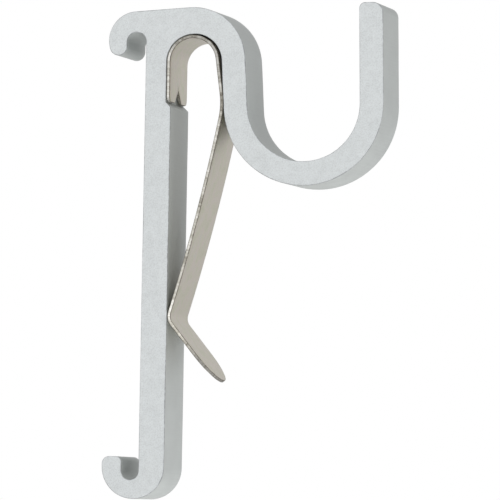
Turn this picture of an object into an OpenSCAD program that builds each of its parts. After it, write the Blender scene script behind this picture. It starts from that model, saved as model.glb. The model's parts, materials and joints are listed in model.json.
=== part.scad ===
// Headphone hook that clips over the edge of an office panel.
// One aluminium extrusion, sawn to width, and one bent strip of spring steel that grips the panel.
// X runs from the upright bar towards the hook, Y runs along the extrusion and Z is up.
// The origin is the centre of the upper seat, at the middle of the width.

/* [Upright bar] */
// Width of the sawn extrusion, along Y
body_w = 15; // [15:0.5:30]
// Thickness of the bar
bar_t = 5.45; // [5:0.05:6]
// Distance between the centres of the two seats
seat_pitch = 88.8; // [80:0.1:120]

/* [Seats] */
// Radius of the upper seat, which opens downwards
upper_seat_r = 2.05; // [1.9:0.05:2.2]
// Outer radius of the upper curl
upper_curl_r = 6.05; // [6:0.05:6.2]
// Radius of the upper curl's rounded end
upper_end_r = 1.85; // [1.75:0.05:1.9]
// Radius of the lower seat, which opens upwards
lower_seat_r = 1.85; // [1.8:0.05:2.1]
// Outer radius of the lower curl
lower_curl_r = 6.65; // [6.4:0.05:6.8]
// Height of the lower curl's lip above the seat's centre
lower_lip_h = 2.95; // [2.8:0.05:5]
// Radius of the lower lip's outer corner
lower_out_r = 1.5; // [0.6:0.1:1.7]
// Radius of the lower lip's inner corner
lower_in_r = 1.2; // [0.6:0.1:1.4]

/* [Arch] */
// Inner radius of the arch
arch_r = 5.9; // [5.8:0.1:6]
// Drop from the upper seat's centre to the arch's centre
arch_drop = 4.2; // [4.1:0.1:4.6]
// Depth of the recess that the strip's short leg lies in
recess_d = 1.05; // [0.95:0.05:1.15]
// Length of the recess below the arch's centre
recess_l = 8.2; // [6:0.1:10]

/* [Hook] */
// Inner radius of the hook
hook_r = 11.9; // [11.7:0.1:12.2]
// Thickness of the hook and the arm
hook_t = 5; // [4.8:0.1:5.2]
// Distance from the upper seat's centre to the hook's centre, along X
hook_x = 35.7; // [35.4:0.1:35.9]
// Drop from the upper seat's centre to the hook's centre
hook_drop = 12.75; // [12.5:0.05:14]
// Straight length of the hook's free leg
lip_l = 20.6; // [12:0.1:30]
// Inward lean of the hook's free leg, in degrees
lip_lean = 1.25; // [0:0.25:3]
// Radius of the free leg's inner corner
lip_in_r = 1.2; // [0.6:0.1:1.8]
// Radius of the free leg's outer corner
lip_out_r = 2.2; // [1:0.1:2.6]

/* [Spring strip] */
// Thickness of the strip
strip_t = 0.7; // [0.5:0.05:0.7]
// Width of the strip
strip_w = 14.5; // [10:0.5:14.5]
// Clearance between the strip and the extrusion
strip_gap = 0.05; // [0.05:0.01:0.08]
// How much smaller the strip's bow is than the arch
bow_slack = 0.35; // [0.2:0.05:0.35]
// Radius of the bend where the strip bears on the arm
knee_r = 15; // [12:1:18]
// Lean of the blade where it leaves the arm, in degrees
blade_lean = 11.2; // [10:0.2:11.6]
// Lean of the blade where it meets the bar, in degrees
kink_lean = 16.8; // [16:0.2:18]
// Radius of the kink, at the middle of the strip's thickness
kink_r = 2.7; // [1.5:0.1:3]
// Lean of the flared end, in degrees
flare_lean = 39; // [30:0.5:50]
// Length of the flared end, up to its tip
flare_l = 14.9; // [12:0.1:20]
// Width of the notch in the end of the short leg
notch_w = 5.4; // [2:0.1:6]
// Height of the notch
notch_h = 2.7; // [1:0.1:4]
// Radius of the corners of the short leg's end
foot_r = 1.3; // [0.3:0.1:1.6]

/* [Hidden] */
$fn = 128;

far = 60;  // longer than any cut has to reach
tongue = 2;  // how far a leg's pointed root reaches into the round that it grows from
tuck = 0.002;  // how far a tangent face starts inside the round that it leaves, so that the two always cross
root_a = 9;  // slant of the cuts that end the hook's round part inside the arm and the free leg
run_gap = 0.03;  // running clearance of the blade's rounded end in the bow
bend_step = 5;  // most degrees of bend in one flat of the strip
over = 1;  // how far a cut starts outside what it cuts

// The bar stands tangent to the upper seat.
bar_x0 = upper_seat_r;
bar_x1 = bar_x0 + bar_t;

// Upper curl: its outer circle is a little off the seat's centre, which thickens its root.
curl_c = [0.11, 0.35];
curl_reach = upper_curl_r - upper_end_r;
end_x = -upper_seat_r - upper_end_r;
end_c = [end_x, curl_c.y - sqrt(curl_reach * curl_reach - (end_x - curl_c.x) * (end_x - curl_c.x))];
end_dir = (end_c - curl_c) / curl_reach;

// Lower curl: its outer circle is tangent to the bar's inner face, and sits higher than the seat.
lower_curl_rise = 0.85;
lower_curl_c = [bar_x1 - lower_curl_r, lower_curl_rise - seat_pitch];
lower_seat_c = [bar_x0 - lower_seat_r, -seat_pitch];
lower_lip_x0 = lower_curl_c.x - lower_curl_r;
lower_lip_x1 = lower_seat_c.x - lower_seat_r;
lower_lip_top = lower_seat_c.y + lower_lip_h;

// Arch: the recess is flush with its left side, and the crown is thicker on that side.
crown_shift = [-0.3, 0.25];
recess_x = bar_x1 - recess_d;
arch_c = [recess_x + arch_r, -arch_drop];
arch_outer_c = arch_c + crown_shift;
ledge_z = arch_c.y - recess_l;

// Hook and arm: each face of the arm is one tangent line, and both lean by arm_a.
hook_c = [hook_x, -hook_drop];
hook_outer_r = hook_r + hook_t;
arm_a = inner_tangent(arch_c, arch_r, hook_c, hook_outer_r);
arm_foot = hook_c - (hook_outer_r - tuck) * unit(arm_a);
arch_outer_r = (hook_c - arch_outer_c) * unit(arm_a) - hook_r;
crown_a = outer_tangent(curl_c, upper_curl_r, arch_outer_c, arch_outer_r);

// Strip: foot, bow, knee against the arm, blade, kink against the bar, flare and tip.
leg_x = recess_x + strip_gap + strip_t / 2;
foot_z = ledge_z + strip_gap;
bow_r = arch_r - strip_t / 2 - bow_slack;
bow_c = [leg_x + bow_r, arch_c.y + bow_slack / 2];
knee_reach = knee_r + strip_t / 2 + strip_gap + hook_outer_r;
knee_c = hook_c - [knee_reach / cos(arm_a), 0];
straight_a = outer_tangent(bow_c, bow_r, knee_c, knee_r);
pivot = knee_c + knee_r * unit(-blade_lean);
kink_x = bar_x1 + strip_gap + strip_t / 2;
blade_r = (pivot.x - kink_x - kink_r * (1 - cos(kink_lean))) / (cos(blade_lean) - cos(kink_lean));
blade_c = pivot - blade_r * unit(-blade_lean);
kink_c = blade_c + (blade_r + kink_r) * unit(-kink_lean);
flare_dir = unit(flare_lean - 90);
flare_start = kink_c - kink_r * unit(flare_lean);
tip_c = flare_start + (flare_l - strip_w / 2) * flare_dir;

function unit(a) = [cos(a), sin(a)];

// Direction from each centre to the line that touches both circles on one side
function outer_tangent(c1, r1, c2, r2) =
    let (d = c2 - c1) atan2(d.y, d.x) + acos((r1 - r2) / norm(d));

// Direction from the first centre to the line that passes between the circles
function inner_tangent(c1, r1, c2, r2) =
    let (d = c2 - c1) atan2(d.y, d.x) + acos((r1 + r2) / norm(d));

// Stations of a strip that bends round c from direction a0 to a1: place and outward normal
function bend(c, r, a0, a1) =
    let (n = ceil(abs(a1 - a0) / bend_step) + 4)
    [for (i = [0:n]) let (a = a0 + (a1 - a0) * i / n) [c + r * unit(a), unit(a)]];

// A band of the strip's thickness along a list of stations
module band(stations) {
    half = strip_t / 2;
    n = len(stations) - 1;
    polygon(concat(
        [for (s = stations) s[0] + half * s[1]],
        [for (i = [0:n]) let (s = stations[n - i]) s[0] - half * s[1]]
    ));
}

// Each profile drawn in X and Z becomes a bar along Y
module extruded(w) {
    rotate([90, 0, 0]) for (i = [0:1:$children - 1])
        linear_extrude(height = w, center = true) children(i);
}

// What rounding takes from a corner that lies at the origin and opens towards +X and +Y
module corner_waste(r) {
    difference() {
        translate([-over, -over]) square(r + over);
        translate([r, r]) circle(r = r);
    }
}

// A leg that rises from the X axis, with a pointed root and a rounded corner each side of its end
module leg(t, l, r0, r1) {
    difference() {
        polygon([[0, 0], [t / 2, -tongue], [t, 0], [t, l], [0, l]]);
        translate([0, l]) mirror([0, 1]) corner_waste(r0);
        translate([t, l]) rotate(180) corner_waste(r1);
    }
}

module bar() {
    translate([bar_x0, lower_curl_c.y]) square([bar_t, -lower_curl_c.y]);
}

// The upper curl's outer circle, cut back to where its rounded end starts
module upper_curl() {
    difference() {
        translate(curl_c) circle(r = upper_curl_r);
        polygon([end_c, [0, end_c.y], [0, -far], [-far, -far], curl_c + far * end_dir]);
    }
}

module upper_curl_end() {
    translate(end_c) circle(r = upper_end_r);
}

module upper_seat() {
    circle(r = upper_seat_r);
    translate([-upper_seat_r, -seat_pitch / 2])
        square([2 * upper_seat_r, seat_pitch / 2]);
}

// The lower curl's outer circle, cut back to where its lip starts
module lower_curl() {
    difference() {
        translate(lower_curl_c) circle(r = lower_curl_r);
        translate([-far, lower_curl_c.y]) square([far + lower_lip_x1, far]);
    }
}

module lower_lip() {
    translate([lower_lip_x0, lower_curl_c.y])
        leg(lower_lip_x1 - lower_lip_x0, lower_lip_top - lower_curl_c.y, lower_out_r, lower_in_r);
}

module lower_seat() {
    translate(lower_seat_c) circle(r = lower_seat_r);
    translate([lower_seat_c.x - lower_seat_r, lower_seat_c.y])
        square([2 * lower_seat_r, seat_pitch / 2]);
}

// The block between the upper curl, the bar and the crown of the arch
module head() {
    polygon([
        curl_c,
        curl_c + (upper_curl_r - tuck) * unit(crown_a),
        arch_outer_c + (arch_outer_r - tuck) * unit(crown_a),
        arch_outer_c,
        [bar_x1, arch_c.y - tongue],
        [bar_x0, arch_c.y - tongue],
    ]);
}

module crown() {
    difference() {
        translate(arch_outer_c) circle(r = arch_outer_r);
        translate([-far, arch_c.y - far]) square([2 * far, far]);
    }
}

// The face towards the hook is the arm's own; the space under the arch cuts its other face.
module arm() {
    polygon([
        arch_c,
        arch_outer_c,
        arch_outer_c + (arch_outer_r - tuck) * unit(arm_a),
        hook_c - (hook_r - tuck) * unit(arm_a),
        hook_c,
        hook_c - (hook_r + hook_t / 2) * unit(arm_a + root_a / 2),
        arm_foot,
        arm_foot - [tongue, 0],
    ]);
}

// The space under the arch, with the recess and its 45 degree ledge
module arch_space() {
    translate(arch_c) circle(r = arch_r);
    polygon([
        arch_c + (arch_r - tuck) * unit(arm_a),
        arm_foot,
        arm_foot - [0, hook_t],
        [bar_x1, arm_foot.y - hook_t],
        [bar_x1, ledge_z - recess_d],
        [recess_x, ledge_z],
        [recess_x, arch_c.y],
    ]);
}

// The lower half of the hook's outer round, which ends inside the arm and the free leg
module hook_round() {
    translate(hook_c) difference() {
        circle(r = hook_outer_r);
        polygon([
            [0, -hook_r / 4],
            far * unit(lip_lean + root_a),
            [0, far],
            far * unit(180 + arm_a - root_a),
        ]);
    }
}

module hook_lip() {
    middle = hook_r + hook_t / 2;
    translate(hook_c) rotate(lip_lean) {
        translate([hook_r - tuck, 0]) leg(hook_t, lip_l, lip_in_r, lip_out_r);
        polygon([[0, 0], [middle, 0], [middle, -tongue]]);
    }
}

module hook_space() {
    translate(hook_c) circle(r = hook_r);
}

module hook_body() {
    color("LightSteelBlue") difference() {
        union() {
            difference() {
                extruded(body_w) {
                    bar();
                    upper_curl();
                    lower_curl();
                    lower_lip();
                    head();
                    crown();
                    arm();
                }
                extruded(body_w + over) {
                    upper_seat();
                    lower_seat();
                    arch_space();
                }
            }
            extruded(body_w) {
                upper_curl_end();
                hook_round();
                hook_lip();
            }
        }
        extruded(body_w + over) hook_space();
    }
}

// Short leg, bow and knee. The knee ends in a hollow round the pivot.
module spring_bow() {
    color("Tan") difference() {
        extruded(strip_w) band(concat(
            [[[leg_x, foot_z], unit(180)]],
            bend(bow_c, bow_r, 180, straight_a),
            bend(knee_c, knee_r, straight_a, -blade_lean)
        ));
        extruded(strip_w + over) translate(pivot) circle(r = strip_t / 2 + run_gap);
        foot_waste();
    }
}

// The notch in the middle of the short leg's end, and the rounding of its outer corners
module foot_waste() {
    notch = notch_w / 2;
    translate([leg_x - strip_t, 0, foot_z]) rotate([90, 0, 90])
        linear_extrude(height = 2 * strip_t)
            polygon([[-notch, -over], [-notch, 0], [0, notch_h], [notch, 0], [notch, -over]]);
    for (side = [0, 1]) mirror([0, side, 0])
        translate([leg_x - strip_t, -strip_w / 2, foot_z]) rotate([90, 0, 90])
            linear_extrude(height = 2 * strip_t) corner_waste(foot_r);
}

// Long leg: it turns about the pivot, touches the bar at the kink and flares to a round tip.
module spring_blade() {
    color("Wheat") difference() {
        extruded(strip_w) {
            translate(pivot) circle(r = strip_t / 2);
            blade_band();
        }
        tip_waste();
    }
}

// The kink bends the other way from the blade, so its stations' normals are turned round.
module blade_band() {
    kink = bend(kink_c, kink_r, 180 - kink_lean, 180 + flare_lean);
    band(concat(
        bend(blade_c, blade_r, -blade_lean, -kink_lean),
        [for (s = kink) [s[0], -s[1]]],
        [[flare_start + flare_l * flare_dir, unit(flare_lean)]]
    ));
}

// What lies outside the round tip
module tip_waste() {
    translate([tip_c.x, 0, tip_c.y]) rotate([0, 90 - flare_lean, 0]) difference() {
        translate([0, -strip_w, -2 * strip_t]) cube([strip_w, 2 * strip_w, 4 * strip_t]);
        translate([0, 0, -3 * strip_t]) cylinder(r = strip_w / 2 + tuck, h = 6 * strip_t);
    }
}

hook_body();
spring_bow();
spring_blade();
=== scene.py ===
"""Looks of the headphone hook: a sawn aluminium extrusion and the bent spring strip in its arch.

Everything is in metres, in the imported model's frame: X runs from the bar towards the hook, Y along the
extrusion and Z up. Angles whose names end in _DEG are in degrees.
"""

import json
import math

import bmesh
import bpy
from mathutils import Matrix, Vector, noise


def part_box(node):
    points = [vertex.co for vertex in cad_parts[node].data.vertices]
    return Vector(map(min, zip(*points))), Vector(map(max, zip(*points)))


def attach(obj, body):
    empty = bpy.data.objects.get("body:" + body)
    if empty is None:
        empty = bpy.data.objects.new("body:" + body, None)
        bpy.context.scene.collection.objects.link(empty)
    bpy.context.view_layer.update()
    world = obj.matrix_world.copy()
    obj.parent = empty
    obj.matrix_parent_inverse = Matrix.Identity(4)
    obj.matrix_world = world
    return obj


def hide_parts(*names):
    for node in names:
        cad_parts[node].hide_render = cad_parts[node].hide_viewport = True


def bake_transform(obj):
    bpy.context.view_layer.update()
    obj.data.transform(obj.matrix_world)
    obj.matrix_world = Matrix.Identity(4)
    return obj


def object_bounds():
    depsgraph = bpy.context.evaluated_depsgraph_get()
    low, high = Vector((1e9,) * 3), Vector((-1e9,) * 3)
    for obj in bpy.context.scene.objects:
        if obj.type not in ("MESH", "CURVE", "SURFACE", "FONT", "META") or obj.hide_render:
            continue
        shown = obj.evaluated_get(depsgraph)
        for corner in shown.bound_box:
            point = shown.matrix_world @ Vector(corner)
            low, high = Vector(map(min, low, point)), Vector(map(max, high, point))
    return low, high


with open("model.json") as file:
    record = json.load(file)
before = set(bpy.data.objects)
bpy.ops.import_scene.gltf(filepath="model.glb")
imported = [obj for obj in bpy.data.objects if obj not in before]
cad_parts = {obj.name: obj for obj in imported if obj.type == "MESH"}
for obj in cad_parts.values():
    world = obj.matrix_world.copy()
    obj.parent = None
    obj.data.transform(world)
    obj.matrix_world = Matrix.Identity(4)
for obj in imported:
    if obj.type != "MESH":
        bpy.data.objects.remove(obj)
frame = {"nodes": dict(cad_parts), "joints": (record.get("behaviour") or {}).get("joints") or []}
cad_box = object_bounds()

MM = 0.001
PIVOT = Vector(frame["joints"][0]["pos_m"])  # the blade's hinge, in the knee
SAME = 1e-6  # places closer together than this, in metres, are the same

# Extrusion: how its sawn edges are broken
EDGE_R = 0.13 * MM  # mean radius of a deburred edge
EDGE_SPREAD = 0.45  # how far the radius wanders, as a share of the mean
EDGE_WAVE = 5 * MM  # length over which it wanders
EDGE_RIPPLE = 4  # a finer ripple is this many times shorter
WAVE_SHARE = 1.4  # how much the wave counts
RIPPLE_SHARE = 0.5  # how much the ripple counts
WAVE_APART = 3 * EDGE_WAVE  # how far each face's wave is taken from the middle, so that the two faces differ
RIPPLE_APART = 5 * EDGE_WAVE  # and each face's ripple
EDGE_STEPS = 4  # facets across a broken edge
STEP_L = 0.7 * MM  # longest step along the outline
STEP_DEG = 4  # most degrees of bend in one step
CORNER_DEG = 30  # a turn sharper than this is a real corner
STRAIGHT = 1.6  # a side this many times longer than the next one is straight, and runs into a round
SAWN, EXTRUDED, BROKEN = range(3)  # the extrusion's material slots

# Spring strip: its bends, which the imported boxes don't give
STRIP_T = 0.7 * MM
BOW_R = 5.2 * MM
KNEE_R = 15 * MM
KINK_R = 2.7 * MM
BLADE_LEAN_DEG = 11.2
KINK_LEAN_DEG = 16.8
FLARE_LEAN_DEG = 39
FLARE_L = 14.9 * MM
NOTCH_W = 5.4 * MM
NOTCH_H = 2.7 * MM
FOOT_R = 1.3 * MM
SHEAR_R = 0.12 * MM  # rounding of the strip's sheared edges
COLUMNS = [0.2, 0.4, 0.6, 0.8]  # columns between the middle and the edge, as shares of half the strip's width
RIM_SHARE = SHEAR_R / (7 * MM)  # the rounding of a sheared edge, as a share of half the strip's width
RIM_TOP = 0.3  # one more row or column lies this far into the rounding, as a share of it
BURR_AND_SHADE_SHARE = 0.9  # a face gets the burr, with painted shade, if its corners lie within this share of the rounding, on average
ROW_GAP = 0.2 * MM  # rows closer together than this are merged
FOOT_ROWS = (0.3, 0.55)  # rows across the foot's round corners, as shares of FOOT_R
NOTCH_ROWS = 4  # rows from there to the notch's end
TIP_ROWS = 12  # rows across the round tip
ROLLED, SHEARED, BURR_AND_SHADE = range(3)  # the strip's material slots
# Painted light along the strip's sheared edge, as (share of its length, brightness): painted shade in the bow
# inside the arch, a painted highlight at the kink, and darker towards the flare's end
EDGE_PAINTED_LIGHT = [
    (0, 0.8), (0.09, 0.75), (0.13, 0.5), (0.24, 0.45), (0.36, 0.75),
    (0.78, 0.8), (0.83, 1), (0.88, 1), (0.94, 0.35),
]

# Camera
VIEW_AZIMUTH_DEG = 13.81
VIEW_ELEVATION_DEG = -2.64
VIEW_ROLL_DEG = 1.02
VIEW_DISTANCE = 1.209
VIEW_LENS = 420.0
VIEW_OFFSET = Vector((-0.19, 0, 0.57)) * MM  # aim, from the middle of the whole object

# Studio
FLOOR_DROP = 250 * MM  # the hook hangs this far above the floor
FLOOR_HALF = 2.5  # half the floor's side
ROOM_LIGHT = 0.64  # even light from all round
BACKDROP = 1.0  # what the camera sees behind the object
# Lamps: name, azimuth and elevation in degrees, distance, side, power in watts
LAMPS = [
    ("front_lamp", -12, 15, 1.5, 1.2, 4.3),
    ("low_lamp", 18, -35, 0.35, 0.2, 0.6),
    ("right_lamp", 80, -35, 0.3, 0.25, 0.4),
    ("under_lamp", -20, -80, 0.22, 0.3, 0.12),
]
NEAR_LAMP = 500 * MM  # lamps nearer than this make no highlights, which would be burnt out


# ---------------------------------------------------------------- materials

def node_of(tree, kind, **settings):
    """A new shader node; settings name its properties or, with their spaces as _, its inputs."""
    node = tree.nodes.new(kind)
    for name, value in settings.items():
        if hasattr(node, name):
            setattr(node, name, value)
        else:
            node.inputs[name.replace("_", " ")].default_value = value
    return node


def coordinates(tree, stretch, uv=None):
    """Object coordinates, or those of a UV map, in millimetres and divided by stretch."""
    source = node_of(tree, "ShaderNodeUVMap", uv_map=uv) if uv else node_of(tree, "ShaderNodeTexCoord")
    mapping = node_of(tree, "ShaderNodeMapping")
    mapping.inputs["Scale"].default_value = [1 / (MM * s) for s in stretch]
    tree.links.new(source.outputs["UV" if uv else "Object"], mapping.inputs["Vector"])
    return mapping.outputs["Vector"]


def noise_of(tree, vector, detail=3, roughness=0.55, distortion=0.0):
    node = node_of(tree, "ShaderNodeTexNoise", Scale=1.0, Detail=detail, Roughness=roughness,
                   Distortion=distortion)
    tree.links.new(vector, node.inputs["Vector"])
    return node.outputs["Fac"]


def span(tree, value, low, high, from_low=0.25, from_high=0.75):
    """value, mostly between from_low and from_high, spread over low to high."""
    node = node_of(tree, "ShaderNodeMapRange")
    for name, number in zip(("From Min", "From Max", "To Min", "To Max"), (from_low, from_high, low, high)):
        node.inputs[name].default_value = number
    tree.links.new(value, node.inputs["Value"])
    return node.outputs["Result"]


def tint(tree, value, stops):
    """A colour ramp through stops, which are (position, linear colour)."""
    ramp = tree.nodes.new("ShaderNodeValToRGB")
    while len(ramp.color_ramp.elements) < len(stops):
        ramp.color_ramp.elements.new(0.5)
    for element, (position, colour) in zip(ramp.color_ramp.elements, stops):
        element.position = position
        element.color = (*colour, 1)
    tree.links.new(value, ramp.inputs["Fac"])
    return ramp.outputs["Color"]


def mixed(tree, a, b, share):
    """The mean of two values, in which b has the given share."""
    node = node_of(tree, "ShaderNodeMix", data_type="FLOAT")
    node.inputs["Factor"].default_value = share
    tree.links.new(a, node.inputs[2])
    tree.links.new(b, node.inputs[3])
    return node.outputs[0]


def multiplied(tree, a, b):
    """The product of two colours."""
    node = node_of(tree, "ShaderNodeMix", data_type="RGBA", blend_type="MULTIPLY")
    node.inputs["Factor"].default_value = 1.0
    tree.links.new(a, node.inputs[6])
    tree.links.new(b, node.inputs[7])
    return node.outputs[2]


def new_material(name):
    material = bpy.data.materials.new(name)
    material.use_nodes = True
    tree = material.node_tree
    return material, tree, tree.nodes["Principled BSDF"]


def surface(material, tree, shader, colour, roughness, height, depth, metallic=1.0):
    """Joins colour, roughness and a bump of the given depth in metres to the shader."""
    tree.links.new(colour, shader.inputs["Base Color"])
    tree.links.new(roughness, shader.inputs["Roughness"])
    shader.inputs["Metallic"].default_value = metallic
    bump = node_of(tree, "ShaderNodeBump", Strength=1.0, Distance=depth)
    tree.links.new(height, bump.inputs["Height"])
    tree.links.new(bump.outputs["Normal"], shader.inputs["Normal"])
    return material


def scaled(colour, factor):
    return tuple(c * factor for c in colour)


def sawn_aluminium():
    """The sawn and blasted faces: pale, finely grained and dull."""
    material, tree, shader = new_material("sawn_aluminium")
    colour = (0.80, 0.825, 0.83)
    grain = noise_of(tree, coordinates(tree, (0.28, 0.28, 0.28)), detail=2)
    cloud = noise_of(tree, coordinates(tree, (1.6, 1.6, 1.6)), detail=4, roughness=0.7)
    speckle = mixed(tree, cloud, grain, 0.7)
    tone = tint(tree, speckle, [(0.35, scaled(colour, 0.88)), (0.5, colour), (0.65, scaled(colour, 1.08))])
    return surface(material, tree, shader, tone, span(tree, grain, 0.62, 0.78), grain, 0.004 * MM)


def extruded_aluminium():
    """The extruded faces: satin and darker, with faint die lines along Y and a fine grain."""
    material, tree, shader = new_material("extruded_aluminium")
    colour = (0.52, 0.545, 0.535)
    lines = noise_of(tree, coordinates(tree, (0.25, 30, 0.25)), detail=4, roughness=0.7)
    grain = noise_of(tree, coordinates(tree, (0.3, 0.3, 0.3)), detail=2)
    cloud = noise_of(tree, coordinates(tree, (4, 6, 4)))
    fine = mixed(tree, lines, grain, 0.45)
    shade = mixed(tree, cloud, fine, 0.5)
    tone = tint(tree, shade, [(0.35, scaled(colour, 0.92)), (0.5, colour), (0.65, scaled(colour, 1.06))])
    return surface(material, tree, shader, tone, span(tree, cloud, 0.42, 0.55), fine, 0.003 * MM,
                   metallic=0.5)


def broken_edge_painted_shade():
    """The deburred edges: a little darker than the sawn faces, as painted shade along the rounded edges, with
    small bright nicks.
    """
    material, tree, shader = new_material("broken_edge_painted_shade")
    # painted shade: the edges' colour is darkened to stand in for the shade that falls along the rounded
    # edges
    colour = (0.52, 0.54, 0.55)
    nicks = noise_of(tree, coordinates(tree, (0.8, 0.8, 0.8)), detail=4)
    tone = tint(tree, nicks, [(0.3, scaled(colour, 0.8)), (0.5, colour), (0.7, scaled(colour, 1.45))])
    return surface(material, tree, shader, tone, span(tree, nicks, 0.4, 0.6), nicks, 0.01 * MM)


def spring_steel():
    """The strip's faces: warm satin steel, rolled along its length, with faint pink and yellow clouds."""
    material, tree, shader = new_material("spring_steel")
    rolled = noise_of(tree, coordinates(tree, (18, 0.16, 1), uv="sheet"), detail=4, roughness=0.65)
    grain = noise_of(tree, coordinates(tree, (0.35, 0.3, 1), uv="sheet"), detail=3)
    cloud = noise_of(tree, coordinates(tree, (3, 2.4, 1), uv="sheet"), detail=4, roughness=0.65)
    base = tint(tree, cloud, [
        (0.33, (0.66, 0.645, 0.51)),
        (0.46, (0.72, 0.695, 0.575)),
        (0.56, (0.765, 0.70, 0.63)),
        (0.68, (0.72, 0.72, 0.62)),
    ])
    fine = mixed(tree, rolled, grain, 0.45)
    shade = tint(tree, fine, [(0.35, (0.86,) * 3), (0.5, (0.96,) * 3), (0.65, (1,) * 3)])
    return surface(material, tree, shader, multiplied(tree, base, shade), span(tree, cloud, 0.3, 0.42), fine,
                   0.003 * MM)


def sheared_steel(length):
    """The strip's sheared edge, torn and uneven, with painted light along it: brighter at the foot and the
    knee, a painted highlight at the kink, painted shade in the bow inside the arch, and darker towards the
    flare's end.
    """
    material, tree, shader = new_material("sheared_steel")
    torn = noise_of(tree, coordinates(tree, (0.7, 0.5, 0.5), uv="sheet"), detail=4, roughness=0.7)
    stretch = noise_of(tree, coordinates(tree, (7, 20, 1), uv="sheet"), detail=2)
    tone = tint(tree, mixed(tree, torn, stretch, 0.5), [
        (0.36, (0.22, 0.2, 0.165)),
        (0.48, (0.56, 0.54, 0.475)),
        (0.6, (0.9, 0.88, 0.83)),
    ])
    lengthwise = node_of(tree, "ShaderNodeSeparateXYZ")
    tree.links.new(coordinates(tree, (length / MM, 1, 1), uv="sheet"), lengthwise.inputs["Vector"])
    # painted light: the edge's brightness along the strip stands in for shade in the bow and a highlight at
    # the kink
    painted_light_along = tint(tree, lengthwise.outputs["X"], [(share, (bright,) * 3) for share, bright in EDGE_PAINTED_LIGHT])
    return surface(material, tree, shader, multiplied(tree, tone, painted_light_along), span(tree, torn, 0.5, 0.3), torn,
                   0.02 * MM, metallic=0.6)


def burr_and_painted_shade():
    """The corners of the sheared edge: a dark, uneven band, partly a real burr and partly painted shade along
    the strip's rounded edges and in the notch's apex, with brownish spots.
    """
    material, tree, shader = new_material("burr_and_painted_shade")
    burr_shade_noise = noise_of(tree, coordinates(tree, (1.1, 0.4, 1), uv="sheet"), detail=4, roughness=0.7)
    # painted shade: this dark band on both faces' rounded edges stands in for the shade at the strip's edges
    # and in the notch's apex, besides the burr
    tone = tint(tree, burr_shade_noise, [
        (0.36, (0.09, 0.07, 0.055)),
        (0.5, (0.25, 0.22, 0.185)),
        (0.64, (0.52, 0.49, 0.44)),
    ])
    return surface(material, tree, shader, tone, span(tree, burr_shade_noise, 0.6, 0.4), burr_shade_noise, 0.01 * MM)


def floor_paper():
    material, tree, shader = new_material("floor_paper")
    grain = noise_of(tree, coordinates(tree, (4, 4, 4)))
    tone = tint(tree, grain, [(0.3, (0.86, 0.86, 0.86)), (0.7, (0.89, 0.89, 0.885))])
    return surface(material, tree, shader, tone, span(tree, grain, 0.9, 0.95), grain, 0.05 * MM, metallic=0.0)


# ---------------------------------------------------------------- extrusion

def front_outline(node):
    """The outline of a node's front face as (x, z) points, counter-clockwise as seen from the front."""
    mesh = frame["nodes"][node].data
    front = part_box(node)[0].y

    def place(index):
        corner = mesh.vertices[index].co
        return round(corner.x, 7), round(corner.z, 7)

    sides = set()
    for polygon in mesh.polygons:
        if all(abs(mesh.vertices[i].co.y - front) < SAME for i in polygon.vertices):
            around = [place(i) for i in polygon.vertices]
            sides.update(zip(around, around[1:] + around[:1]))
    following = {a: b for a, b in sides if (b, a) not in sides}
    outline = [min(following)]
    while following[outline[-1]] != outline[0]:
        outline.append(following[outline[-1]])
    return [Vector(point) for point in outline]


def tangents(outline):
    """For each point, its tangent as the end of one side and as the start of the next.

    They differ only at a real corner. Where a straight side runs into a round, the straight side rules.
    """
    result = []
    for i, point in enumerate(outline):
        before = point - outline[i - 1]
        after = outline[(i + 1) % len(outline)] - point
        if before.angle(after) > math.radians(CORNER_DEG):
            result.append((before.normalized(), after.normalized()))
            continue
        if before.length > STRAIGHT * after.length:
            middle = before
        elif after.length > STRAIGHT * before.length:
            middle = after
        else:
            middle = before.normalized() / before.length + after.normalized() / after.length
        result.append((middle.normalized(), middle.normalized()))
    return result


def smooth_outline(outline):
    """The outline in short steps, as (point, outward normal before it, outward normal after it)."""
    ends = tangents(outline)
    steps = []
    for i, start in enumerate(outline):
        end = outline[(i + 1) % len(outline)]
        t0 = ends[i][1]
        t1 = ends[(i + 1) % len(outline)][0]
        chord = (end - start).length
        bend = math.degrees(t0.angle(t1))
        count = max(math.ceil(chord / STEP_L), math.ceil(bend / STEP_DEG))
        for k in range(count):
            u = k / count
            point = (start * (1 + 2 * u) * (1 - u) ** 2 + end * (3 - 2 * u) * u ** 2
                     + t0 * (chord * u * (1 - u) ** 2) - t1 * (chord * u ** 2 * (1 - u)))
            along = ((end - start) * (6 * u * (1 - u)) / chord
                     + t0 * (1 - u) * (1 - 3 * u) + t1 * u * (3 * u - 2)).normalized()
            before = ends[i][0] if k == 0 else along
            steps.append((point, Vector((before.y, -before.x)), Vector((along.y, -along.x))))
    return steps


def edge_radius(point, side):
    """Radius of the broken edge at a point of the outline; side tells the two faces apart."""
    wave = noise.noise(Vector((point.x, side * WAVE_APART, point.y)) / EDGE_WAVE)
    ripple = noise.noise(Vector((point.x, side * RIPPLE_APART, point.y)) * (EDGE_RIPPLE / EDGE_WAVE))
    return EDGE_R * (1 + EDGE_SPREAD * (WAVE_SHARE * wave + RIPPLE_SHARE * ripple))


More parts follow.
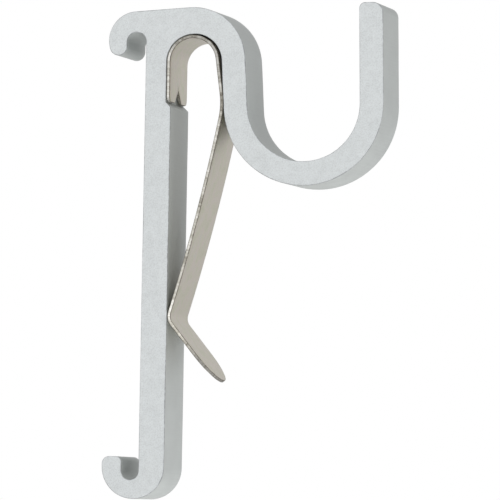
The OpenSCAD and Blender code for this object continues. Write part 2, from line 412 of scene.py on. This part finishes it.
def build_extrusion(materials):
    """The extrusion with its broken edges, in place of the CAD's sharp one."""
    low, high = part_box("hook_body")
    steps = smooth_outline(front_outline("hook_body"))
    count = len(steps)
    vertices = []
    bends = []  # for each ring, how far its normal has turned from the sawn face's, and to which side
    for side, face in ((-1, low.y), (1, high.y)):
        order = range(EDGE_STEPS + 1) if side < 0 else range(EDGE_STEPS, -1, -1)
        for k in order:
            turn = math.radians(90 * k / EDGE_STEPS)
            bends.append((turn, side))
            for point, before, after in steps:
                radius = edge_radius(point, side)
                miter = (before + after) / (1 + before.dot(after))
                edge = point - miter * radius * (1 - math.sin(turn))
                vertices.append((edge.x, face - side * radius * (1 - math.cos(turn)), edge.y))
    faces = [list(range(count))]
    slots = [SAWN]
    normals = [Vector((0, -1, 0))] * count
    for ring in range(len(bends) - 1):
        for i in range(count):
            j = (i + 1) % count
            faces.append([ring * count + i, (ring + 1) * count + i, (ring + 1) * count + j, ring * count + j])
            slots.append(EXTRUDED if ring == EDGE_STEPS else BROKEN)
            for r, at_end in ((ring, False), (ring + 1, False), (ring + 1, True), (ring, True)):
                turn, side = bends[r]
                flat = steps[j][1] if at_end else steps[i][2]
                normals.append(Vector((flat.x * math.sin(turn), side * math.cos(turn),
                                       flat.y * math.sin(turn))))
    last = (len(bends) - 1) * count
    faces.append([last + i for i in reversed(range(count))])
    slots.append(SAWN)
    normals += [Vector((0, 1, 0))] * count
    return finished_mesh("extrusion", vertices, faces, materials, slots, normals)


def finished_mesh(name, vertices, faces, materials, slots, normals=None):
    mesh = bpy.data.meshes.new(name)
    mesh.from_pydata([tuple(v) for v in vertices], [], faces)
    for material in materials:
        mesh.materials.append(material)
    mesh.polygons.foreach_set("material_index", slots)
    mesh.shade_smooth()
    if normals:
        mesh.normals_split_custom_set([tuple(n) for n in normals])
    piece = bpy.data.objects.new(name, mesh)
    bpy.context.scene.collection.objects.link(piece)
    return piece


# ---------------------------------------------------------------- spring strip

def direction(degrees):
    return Vector((math.cos(math.radians(degrees)), math.sin(math.radians(degrees))))


def strip_route():
    """The strip's middle line from its foot, as (length, turn to the right in degrees) of each piece."""
    bow_low, bow_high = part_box("spring_bow")
    blade_low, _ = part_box("spring_blade")
    pivot = Vector((PIVOT.x, PIVOT.z))
    corners = [vertex.co for vertex in frame["nodes"]["spring_bow"].data.vertices]
    foot = Vector((bow_low.x + STRIP_T / 2, min(c.z for c in corners if c.x < bow_low.x + STRIP_T)))
    bow = Vector((foot.x + BOW_R, bow_high.z - STRIP_T / 2 - BOW_R))
    knee = pivot - KNEE_R * direction(-BLADE_LEAN_DEG)
    gap = knee - bow
    straight_deg = math.degrees(math.atan2(gap.y, gap.x) + math.acos((BOW_R - KNEE_R) / gap.length))
    straight_l = math.sqrt(gap.length ** 2 - (KNEE_R - BOW_R) ** 2)
    kink_x = blade_low.x + STRIP_T / 2
    lean, kink_lean = math.radians(BLADE_LEAN_DEG), math.radians(KINK_LEAN_DEG)
    blade_r = (pivot.x - kink_x - KINK_R * (1 - math.cos(kink_lean))) / (math.cos(lean) - math.cos(kink_lean))
    pieces = [
        (bow.y - foot.y, 0),
        (BOW_R * math.radians(180 - straight_deg), 180 - straight_deg),
        (straight_l, 0),
        (KNEE_R * math.radians(straight_deg + BLADE_LEAN_DEG), straight_deg + BLADE_LEAN_DEG),
        (blade_r * (kink_lean - lean), KINK_LEAN_DEG - BLADE_LEAN_DEG),
        (KINK_R * math.radians(KINK_LEAN_DEG + FLARE_LEAN_DEG), -KINK_LEAN_DEG - FLARE_LEAN_DEG),
        (FLARE_L, 0),
    ]
    return foot, pieces


def along_route(foot, pieces, distance):
    """Point and heading in degrees, at a distance from the foot. The strip sets out straight up."""
    point, heading = foot.copy(), 90.0
    for length, turn in pieces:
        run = min(distance, length)
        if turn == 0:
            point += run * direction(heading)
        else:
            turned = turn * run / length
            radius = length / math.radians(turn)
            point += radius * (direction(heading + 90 - turned) - direction(heading + 90))
            heading -= turned
        distance -= run
        if distance <= 0:
            break
    return point, heading


def inward(s, y, half_w, tip):
    """Distance of a point of the flat blank from the blank's outline; s is counted from the foot."""
    side = abs(y)
    if s > tip:
        return half_w - math.hypot(s - tip, side)
    corner = half_w - FOOT_R
    if s < FOOT_R and side > corner:
        return FOOT_R - math.hypot(FOOT_R - s, side - corner)
    notch = (side - NOTCH_W / 2 * (1 - s / NOTCH_H)) / math.hypot(1, NOTCH_W / 2 / NOTCH_H)
    near_notch = s < 2 * NOTCH_H
    return min(half_w - side, s, notch if near_notch else half_w)


def blank_rows(pieces, half_w):
    """The flat blank as rows of points (s, y), each row from one side to the other, and where the tip starts.

    Below the notch's end a row has a gap in its middle. The rows of the round tip bow outwards.
    """
    places = [0, RIM_TOP * SHEAR_R, SHEAR_R] + [share * FOOT_R for share in FOOT_ROWS]
    places += [FOOT_R + (NOTCH_H - FOOT_R) * k / NOTCH_ROWS for k in range(NOTCH_ROWS + 1)]
    start = 0
    for length, turn in pieces:
        count = max(math.ceil(length / MM), math.ceil(abs(turn) / STEP_DEG))
        places += [start + length * (k + 1) / count for k in range(count)]
        start += length
    tip = start - half_w
    kept = [place for place in sorted(places) if place <= FOOT_R]
    for place in sorted(places):
        if kept[-1] + ROW_GAP < place < tip - ROW_GAP:
            kept.append(place)
    rows = []
    for s in kept:
        outer = half_w
        if s < FOOT_R:
            outer += math.sqrt(FOOT_R ** 2 - (FOOT_R - s) ** 2) - FOOT_R
        inner = max(NOTCH_W / 2 * (1 - s / NOTCH_H), 0)
        rows.append([(s, sign * (inner + (outer - inner) * share)) for sign, share in strip_columns()])
    rim = SHEAR_R / half_w
    for v in [k / TIP_ROWS for k in range(TIP_ROWS)] + [1 - rim, 1 - RIM_TOP * rim, 1]:
        rows.append([(tip + half_w * v * math.sqrt(1 - share ** 2 / 2),
                      half_w * sign * share * math.sqrt(1 - v ** 2 / 2)) for sign, share in strip_columns()])
    return rows, tip


def strip_columns():
    """(side, share of the half width) of each column; the two middle ones part at the notch."""
    shares = [0, RIM_SHARE] + COLUMNS + [1 - RIM_SHARE, 1 - RIM_TOP * RIM_SHARE, 1]
    return [(-1, share) for share in reversed(shares)] + [(1, share) for share in shares]


def build_strip(materials):
    """The whole strip as one sheet: a flat blank with its notch and round ends, bent along the route.

    The blank's edges are rounded by SHEAR_R, so a point's height follows from its distance inward.
    """
    low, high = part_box("spring_bow")
    half_w = (high.y - low.y) / 2
    foot, pieces = strip_route()
    rows, tip = blank_rows(pieces, half_w)
    width = len(rows[0])
    vertices, flat, distances = [], [], []
    for side in (1, -1):
        for s, y in (point for row in rows for point in row):
            distance = max(inward(s, y, half_w, tip), 0)
            tilt = max(1 - distance / SHEAR_R, 0)
            height = side * (STRIP_T / 2 - SHEAR_R * (1 - math.sqrt(1 - tilt ** 2)))
            point, heading = along_route(foot, pieces, s)
            place = point + height * direction(heading + 90)
            vertices.append((place.x, y, place.y))
            flat.append((s, y))
            distances.append(distance)
    faces = []
    middle = width // 2
    notched = sum(1 for row in rows if row[middle][1] - row[middle - 1][1] > SAME)
    back = len(rows) * width  # the vertices of the strip's other face start here
    for i in range(len(rows) - 1):
        for k in range(width - 1):
            if k == middle - 1:
                continue
            a, b = i * width + k, (i + 1) * width + k
            faces.append([a, b, b + 1, a + 1])
            faces.append([back + a + 1, back + b + 1, back + b, back + a])
    # Once round the blank: up one side, over the tip, down the other side, and along the foot and the notch
    rim = [i * width for i in range(len(rows))]
    rim += [(len(rows) - 1) * width + k for k in range(1, width)]
    rim += [i * width + width - 1 for i in range(len(rows) - 2, -1, -1)]
    rim += list(range(width - 2, middle - 1, -1))
    rim += [i * width + middle for i in range(1, notched + 1)]
    rim += [i * width + middle - 1 for i in range(notched - 1, -1, -1)]
    rim += list(range(middle - 2, 0, -1))
    rim_faces = [[b, a, back + a, back + b] for a, b in zip(rim, rim[1:] + rim[:1])]
    # faces along the rounded rim get the burr material, partly a real burr and partly painted shade
    slots = []
    for face in faces:
        burr_and_shade_face = sum(distances[v] for v in face) < len(face) * BURR_AND_SHADE_SHARE * SHEAR_R
        slots.append(BURR_AND_SHADE if burr_and_shade_face else ROLLED)
    slots += [SHEARED] * len(rim_faces)
    strip = finished_mesh("spring_strip", vertices, faces + rim_faces, materials, slots)
    sheet = strip.data.uv_layers.new(name="sheet")
    for loop in strip.data.loops:
        sheet.data[loop.index].uv = flat[loop.vertex_index]
    weld(strip.data)
    return strip


def weld(mesh):
    """Joins the two middle columns above the notch."""
    tool = bmesh.new()
    tool.from_mesh(mesh)
    bmesh.ops.remove_doubles(tool, verts=tool.verts, dist=SAME)
    tool.to_mesh(mesh)
    tool.free()


# ---------------------------------------------------------------- stage

def build_floor():
    low, high = cad_box
    middle = (low + high) / 2
    corners = [(middle.x + x * FLOOR_HALF, middle.y + y * FLOOR_HALF, low.z - FLOOR_DROP)
               for x, y in ((-1, -1), (1, -1), (1, 1), (-1, 1))]
    floor = finished_mesh("floor", corners, [[0, 1, 2, 3]], [floor_paper()], [0])


def add_lamp(name, azimuth_deg, elevation_deg, distance, size, power):
    """A square lamp that faces the middle of the object; azimuth 0 is in front, 90 on the hook's side."""
    middle = sum(cad_box, Vector()) / 2
    azimuth, elevation = math.radians(azimuth_deg), math.radians(elevation_deg)
    towards = Vector((math.sin(azimuth) * math.cos(elevation), -math.cos(azimuth) * math.cos(elevation),
                      math.sin(elevation)))
    data = bpy.data.lights.new(name, "AREA")
    data.size = size
    data.energy = power
    lamp = bpy.data.objects.new(name, data)
    lamp.location = middle + towards * distance
    lamp.rotation_euler = towards.to_track_quat("Z", "Y").to_euler()
    lamp.visible_camera = False
    lamp.visible_glossy = distance > NEAR_LAMP
    bpy.context.scene.collection.objects.link(lamp)


def light_studio():
    """Even grey light from all round, a white backdrop, and the lamps."""
    world = bpy.data.worlds.new("studio")
    bpy.context.scene.world = world
    world.use_nodes = True
    tree = world.node_tree
    tree.nodes.clear()
    around = node_of(tree, "ShaderNodeBackground", Color=(1, 1, 1, 1), Strength=ROOM_LIGHT)
    backdrop = node_of(tree, "ShaderNodeBackground", Color=(1, 1, 1, 1), Strength=BACKDROP)
    path = tree.nodes.new("ShaderNodeLightPath")
    mix = tree.nodes.new("ShaderNodeMixShader")
    out = tree.nodes.new("ShaderNodeOutputWorld")
    tree.links.new(path.outputs["Is Camera Ray"], mix.inputs["Fac"])
    tree.links.new(around.outputs["Background"], mix.inputs[1])
    tree.links.new(backdrop.outputs["Background"], mix.inputs[2])
    tree.links.new(mix.outputs["Shader"], out.inputs["Surface"])
    for lamp in LAMPS:
        add_lamp(*lamp)
    bpy.context.scene.view_settings.view_transform = "Standard"


def add_camera():
    azimuth, elevation = math.radians(VIEW_AZIMUTH_DEG), math.radians(VIEW_ELEVATION_DEG)
    back = Vector((math.sin(azimuth) * math.cos(elevation), -math.cos(azimuth) * math.cos(elevation),
                   math.sin(elevation)))
    aim = sum(cad_box, Vector()) / 2 + VIEW_OFFSET
    data = bpy.data.cameras.new("camera")
    data.lens = VIEW_LENS
    data.clip_start = 0.05
    data.clip_end = 20
    camera = bpy.data.objects.new("camera", data)
    camera.location = aim + back * VIEW_DISTANCE
    camera.rotation_euler = back.to_track_quat("Z", "Y").to_euler()
    camera.rotation_euler.rotate_axis("Z", math.radians(VIEW_ROLL_DEG))
    bpy.context.scene.collection.objects.link(camera)
    bpy.context.scene.camera = camera


# ---------------------------------------------------------------- the object

extrusion = build_extrusion([sawn_aluminium(), extruded_aluminium(), broken_edge_painted_shade()])
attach(extrusion, "hook")
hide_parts("hook_body")

strip_l = sum(length for length, turn in strip_route()[1])
strip = build_strip([spring_steel(), sheared_steel(strip_l), burr_and_painted_shade()])
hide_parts("spring_bow", "spring_blade")
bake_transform(strip)

build_floor()
light_studio()
add_camera()
